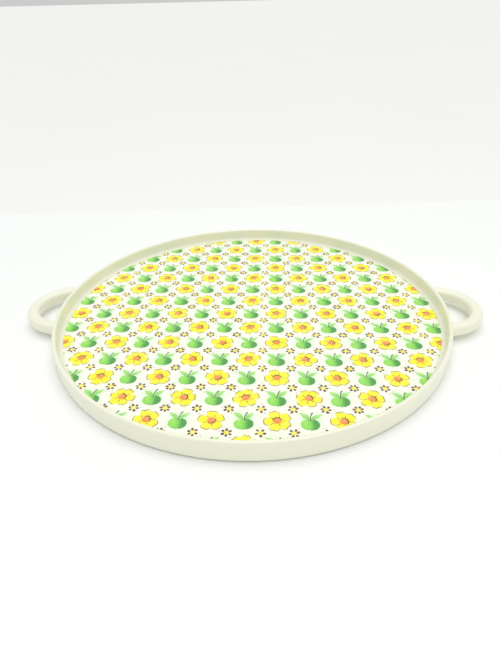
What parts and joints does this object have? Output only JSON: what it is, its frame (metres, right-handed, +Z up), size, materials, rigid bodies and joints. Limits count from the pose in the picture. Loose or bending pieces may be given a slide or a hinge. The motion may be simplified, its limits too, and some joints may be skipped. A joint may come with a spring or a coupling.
{
  "type": "round serving tray",
  "caption": "Round moulded plastic serving tray with a low wall, a printed floor under clear film and a loop handle on each side.",
  "frame": {"origin": "centre of the foot ring, on the surface that the tray stands on", "axes": "+Z up out of the tray, X through the two handles, -Y towards the person carrying it"},
  "size_m": [0.463, 0.39, 0.02],
  "materials": {
    "cream_plastic": "smooth semi-gloss moulded plastic, warm cream",
    "printed_decor": "printed sheet: ivory ground with yellow flowers, green apples and small brown blossoms",
    "clear_film": "clear gloss film over the print"
  },
  "bodies": {
    "root": {"tray_shell": "cream_plastic", "left_handle": "cream_plastic", "right_handle": "cream_plastic", "decor_sheet": "printed_decor", "clear_film": "clear_film"}
  },
  "joints": []
}
